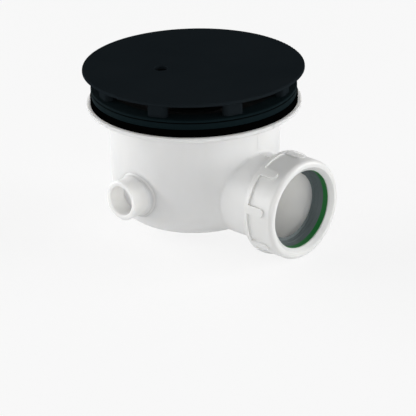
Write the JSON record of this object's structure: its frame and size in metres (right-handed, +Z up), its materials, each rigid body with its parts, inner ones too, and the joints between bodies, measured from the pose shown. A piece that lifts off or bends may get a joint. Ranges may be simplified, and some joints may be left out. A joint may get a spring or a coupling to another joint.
{
  "type": "shower tray trap",
  "caption": "Shower tray trap with a round raised cover, a clamp ring and gaskets for the tray, a lift-out dip funnel and cup, a screwed side outlet and a blind side spigot.",
  "frame": {"origin": "centre of the body flange's top face, where the shower tray is clamped", "axes": "+Z up the drain through the cover, +X out of the outlet, -Y out of the side spigot"},
  "size_m": [0.134, 0.115, 0.0872],
  "materials": {
    "body_plastic": "moulded white polypropylene, slightly waxy",
    "nut_plastic": "moulded white polypropylene",
    "cup_plastic": "moulded white polypropylene",
    "funnel_plastic": "moulded black polypropylene",
    "ring_plastic": "moulded black plastic with a fine grain",
    "cover_finish": "matt black painted plastic",
    "gasket_rubber": "black rubber",
    "seal_rubber": "slate grey rubber",
    "thrust_ring_plastic": "green slip ring"
  },
  "bodies": {
    "root": {"trap_body": "body_plastic", "side_spigot": "body_plastic", "lower_gasket": "gasket_rubber"},
    "clamp_washer": {"upper_gasket": "gasket_rubber"},
    "clamp_ring": {"clamp_ring": "ring_plastic"},
    "insert": {"dip_funnel": "funnel_plastic", "dip_tube": "funnel_plastic", "throat_grate": "funnel_plastic", "funnel_seal": "gasket_rubber", "trap_cup": "cup_plastic"},
    "cover": {"cover": "cover_finish", "cover_ring": "ring_plastic"},
    "outlet_seals": {"thrust_ring": "thrust_ring_plastic", "pipe_seal": "seal_rubber"},
    "outlet_nut": {"outlet_nut": "nut_plastic"}
  },
  "joints": [
    {"name": "clamp_ring_turn", "type": "hinge", "parent": "clamp_washer", "child": "clamp_ring", "pos_m": [0, 0, 0.0038], "axis": [0, 0, 1], "range_deg": [0, 1800]},
    {"name": "clamp_ring_rise", "type": "slide", "parent": "root", "child": "clamp_washer", "axis": [0, 0, 1], "range_m": [0, 0.0201]},
    {"name": "insert_lift", "type": "slide", "parent": "clamp_ring", "child": "insert", "axis": [0, 0, 1], "range_m": [0, 0.075]},
    {"name": "cover_lift", "type": "slide", "parent": "insert", "child": "cover", "axis": [0, 0, 1], "range_m": [0, 0.03]},
    {"name": "outlet_nut_turn", "type": "hinge", "parent": "outlet_seals", "child": "outlet_nut", "pos_m": [0.068, 0, -0.0411], "axis": [1, 0, 0], "range_deg": [0, 1440]},
    {"name": "outlet_nut_travel", "type": "slide", "parent": "root", "child": "outlet_seals", "axis": [1, 0, 0], "range_m": [0, 0.00924]}
  ],
  "couplings": [
    {"joint": "clamp_ring_rise", "follows": "clamp_ring_turn", "m_per_rad": 0.00063662},
    {"joint": "outlet_nut_travel", "follows": "outlet_nut_turn", "m_per_rad": 0.00036749}
  ]
}
